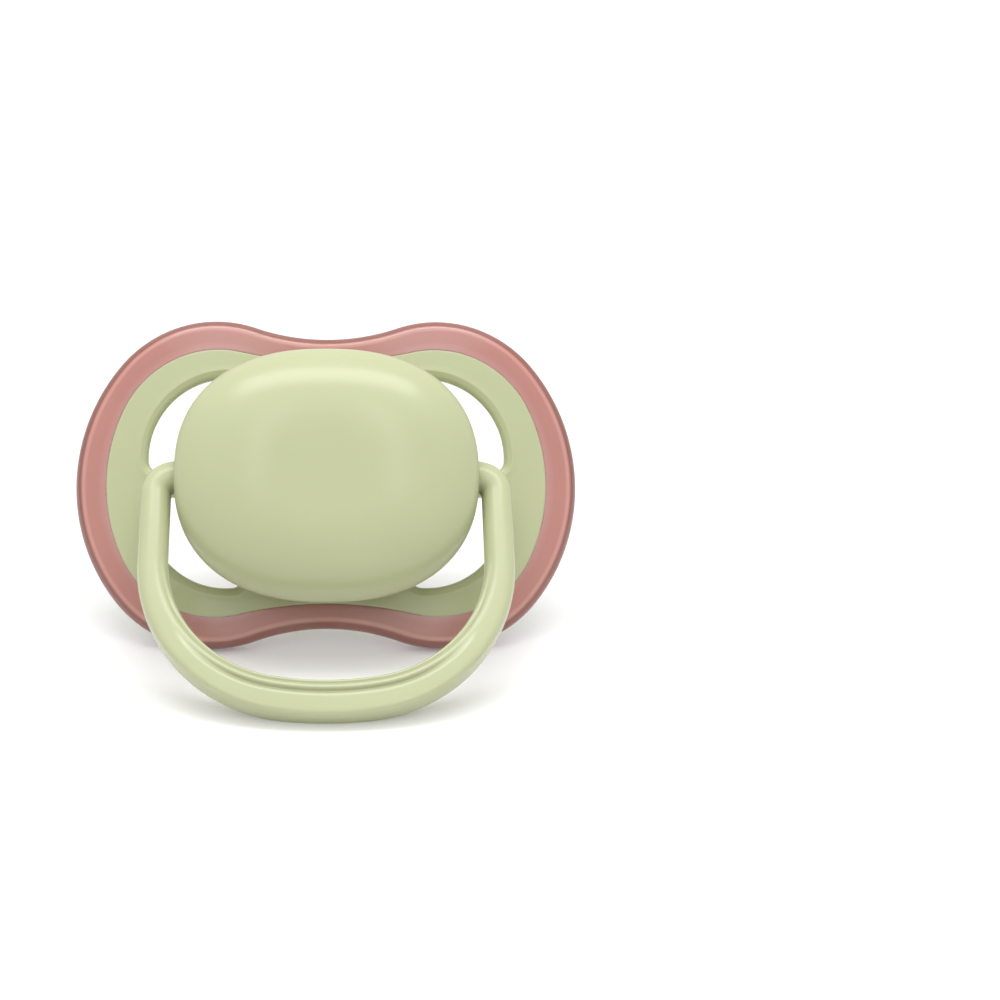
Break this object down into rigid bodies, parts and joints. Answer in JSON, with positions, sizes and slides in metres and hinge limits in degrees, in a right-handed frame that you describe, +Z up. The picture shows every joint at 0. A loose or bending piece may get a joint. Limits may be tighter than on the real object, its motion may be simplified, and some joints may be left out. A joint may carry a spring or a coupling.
{
  "type": "pacifier",
  "caption": "Baby pacifier with an arched two-colour shield, air holes, a domed knob, a swinging ring handle and a hollow silicone teat.",
  "frame": {"origin": "centre of the whole part's box, on the ground the part rests on", "axes": "+Z up, +X along the shield's long side through the ring's hinge, -Y the way the knob faces; the shield leans back on its two lower lobes and the teat"},
  "size_m": [0.058, 0.0546, 0.034],
  "materials": {
    "green_plastic": "smooth satin",
    "pink_plastic": "satin, slightly see-through",
    "silicone": "frosted see-through bulb, glossy clear neck"
  },
  "bodies": {
    "shield_and_teat": {"shield_plate": "green_plastic", "shield_rim": "pink_plastic", "knob_cover": "green_plastic", "teat": "silicone", "neck_plug": "green_plastic"},
    "ring": {"ring_handle": "green_plastic"}
  },
  "joints": [
    {"name": "ring_hinge", "type": "hinge", "parent": "shield_and_teat", "child": "ring", "pos_m": [0, -0.00442, 0.01976], "axis": [-1, 0, 0], "range_deg": [-29, 166]}
  ]
}
